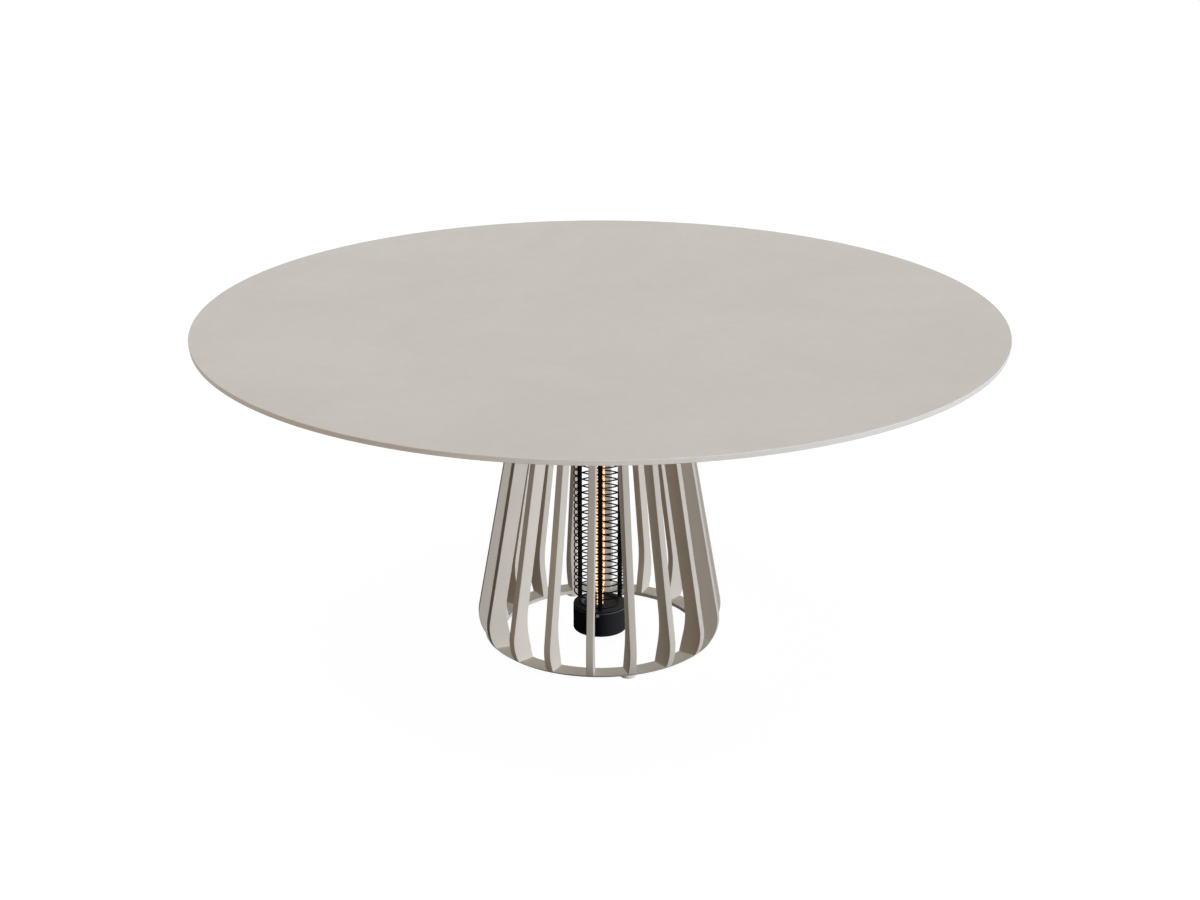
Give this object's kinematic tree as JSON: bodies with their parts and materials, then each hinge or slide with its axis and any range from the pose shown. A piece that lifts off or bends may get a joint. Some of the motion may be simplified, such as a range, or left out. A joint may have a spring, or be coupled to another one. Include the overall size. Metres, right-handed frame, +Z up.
{
  "type": "round heated table",
  "caption": "Round dining-height outdoor table with a thin stone top, a belly-shaped base of upright slats, levelling feet and an infrared heater hanging inside the base.",
  "frame": {"origin": "on the floor, on the table's axis", "axes": "+Z up along the table's axis, -Y towards the front of the picture"},
  "size_m": [1.8, 1.7996, 0.755],
  "materials": {
    "stone": "matt, softly clouded",
    "powder_coat": "fine matt powder coat",
    "black_coat": "satin black",
    "black_wire": "satin black",
    "black_screws": "blackened",
    "screw_steel": "zinc plated",
    "black_plastic": "moulded",
    "foot_plastic": "moulded nylon",
    "silicone": "translucent grey",
    "seal_rubber": "black silicone",
    "socket_ceramic": "steatite",
    "quartz": "clear quartz",
    "glow": "glowing carbon fibre"
  },
  "bodies": {
    "table": {"arm_end_caps": "black_plastic", "arm_screws": "screw_steel", "base_ring": "powder_coat", "cable_gland": "black_plastic", "guard_post_1": "black_wire", "guard_post_2": "black_wire", "guard_post_3": "black_wire", "guard_post_nuts": "screw_steel", "guard_rings": "black_wire", "head_plate": "powder_coat", "heater_cup": "black_coat", "heater_flange": "black_coat", "heater_flange_screws": "screw_steel", "heater_housing": "black_coat", "heater_lid": "black_coat", "heater_rim_screws": "black_screws", "heating_element": "glow", "lamp_end_caps": "socket_ceramic", "lamp_sockets": "socket_ceramic", "lamp_tube": "quartz", "lid_gasket": "seal_rubber", "silicone_pads": "silicone", "slat_01": "powder_coat", "slat_02": "powder_coat", "slat_03": "powder_coat", "slat_04": "powder_coat", "slat_05": "powder_coat", "slat_06": "powder_coat", "slat_07": "powder_coat", "slat_08": "powder_coat", "slat_09": "powder_coat", "slat_10": "powder_coat", "slat_11": "powder_coat", "slat_12": "powder_coat", "slat_13": "powder_coat", "slat_14": "powder_coat", "slat_15": "powder_coat", "slat_16": "powder_coat", "slat_17": "powder_coat", "slat_18": "powder_coat", "support_arm_1": "powder_coat", "support_arm_2": "powder_coat", "support_arm_3": "powder_coat", "support_arm_4": "powder_coat", "support_arm_5": "powder_coat", "support_arm_6": "powder_coat", "table_top": "stone", "terminal_block": "black_plastic", "thermal_cutout": "black_plastic"},
    "foot_stud_1": {"foot_stud_1": "screw_steel"},
    "foot_pad_1": {"foot_pad_1": "foot_plastic"},
    "foot_stud_2": {"foot_stud_2": "screw_steel"},
    "foot_pad_2": {"foot_pad_2": "foot_plastic"},
    "foot_stud_3": {"foot_stud_3": "screw_steel"},
    "foot_pad_3": {"foot_pad_3": "foot_plastic"},
    "foot_stud_4": {"foot_stud_4": "screw_steel"},
    "foot_pad_4": {"foot_pad_4": "foot_plastic"}
  },
  "joints": [
    {"name": "foot_1_lift", "type": "slide", "parent": "table", "child": "foot_stud_1", "axis": [0, 0, 1], "range_m": [-0.01, 0]},
    {"name": "foot_1_turn", "type": "hinge", "parent": "foot_stud_1", "child": "foot_pad_1", "pos_m": [0.06292, -0.23001, 0], "axis": [0, 0, 1], "range_deg": [-2870, 0]},
    {"name": "foot_2_lift", "type": "slide", "parent": "table", "child": "foot_stud_2", "axis": [0, 0, 1], "range_m": [-0.01, 0]},
    {"name": "foot_2_turn", "type": "hinge", "parent": "foot_stud_2", "child": "foot_pad_2", "pos_m": [0.23745, 0.02203, 0], "axis": [0, 0, 1], "range_deg": [-2870, 0]},
    {"name": "foot_3_lift", "type": "slide", "parent": "table", "child": "foot_stud_3", "axis": [0, 0, 1], "range_m": [-0.01, 0]},
    {"name": "foot_3_turn", "type": "hinge", "parent": "foot_stud_3", "child": "foot_pad_3", "pos_m": [-0.06292, 0.23001, 0], "axis": [0, 0, 1], "range_deg": [-2870, 0]},
    {"name": "foot_4_lift", "type": "slide", "parent": "table", "child": "foot_stud_4", "axis": [0, 0, 1], "range_m": [-0.01, 0]},
    {"name": "foot_4_turn", "type": "hinge", "parent": "foot_stud_4", "child": "foot_pad_4", "pos_m": [-0.23745, -0.02203, 0], "axis": [0, 0, 1], "range_deg": [-2870, 0]}
  ],
  "couplings": [
    {"joint": "foot_1_lift", "follows": "foot_1_turn", "m_per_rad": 0.00019894},
    {"joint": "foot_2_lift", "follows": "foot_2_turn", "m_per_rad": 0.00019894},
    {"joint": "foot_3_lift", "follows": "foot_3_turn", "m_per_rad": 0.00019894},
    {"joint": "foot_4_lift", "follows": "foot_4_turn", "m_per_rad": 0.00019894}
  ]
}
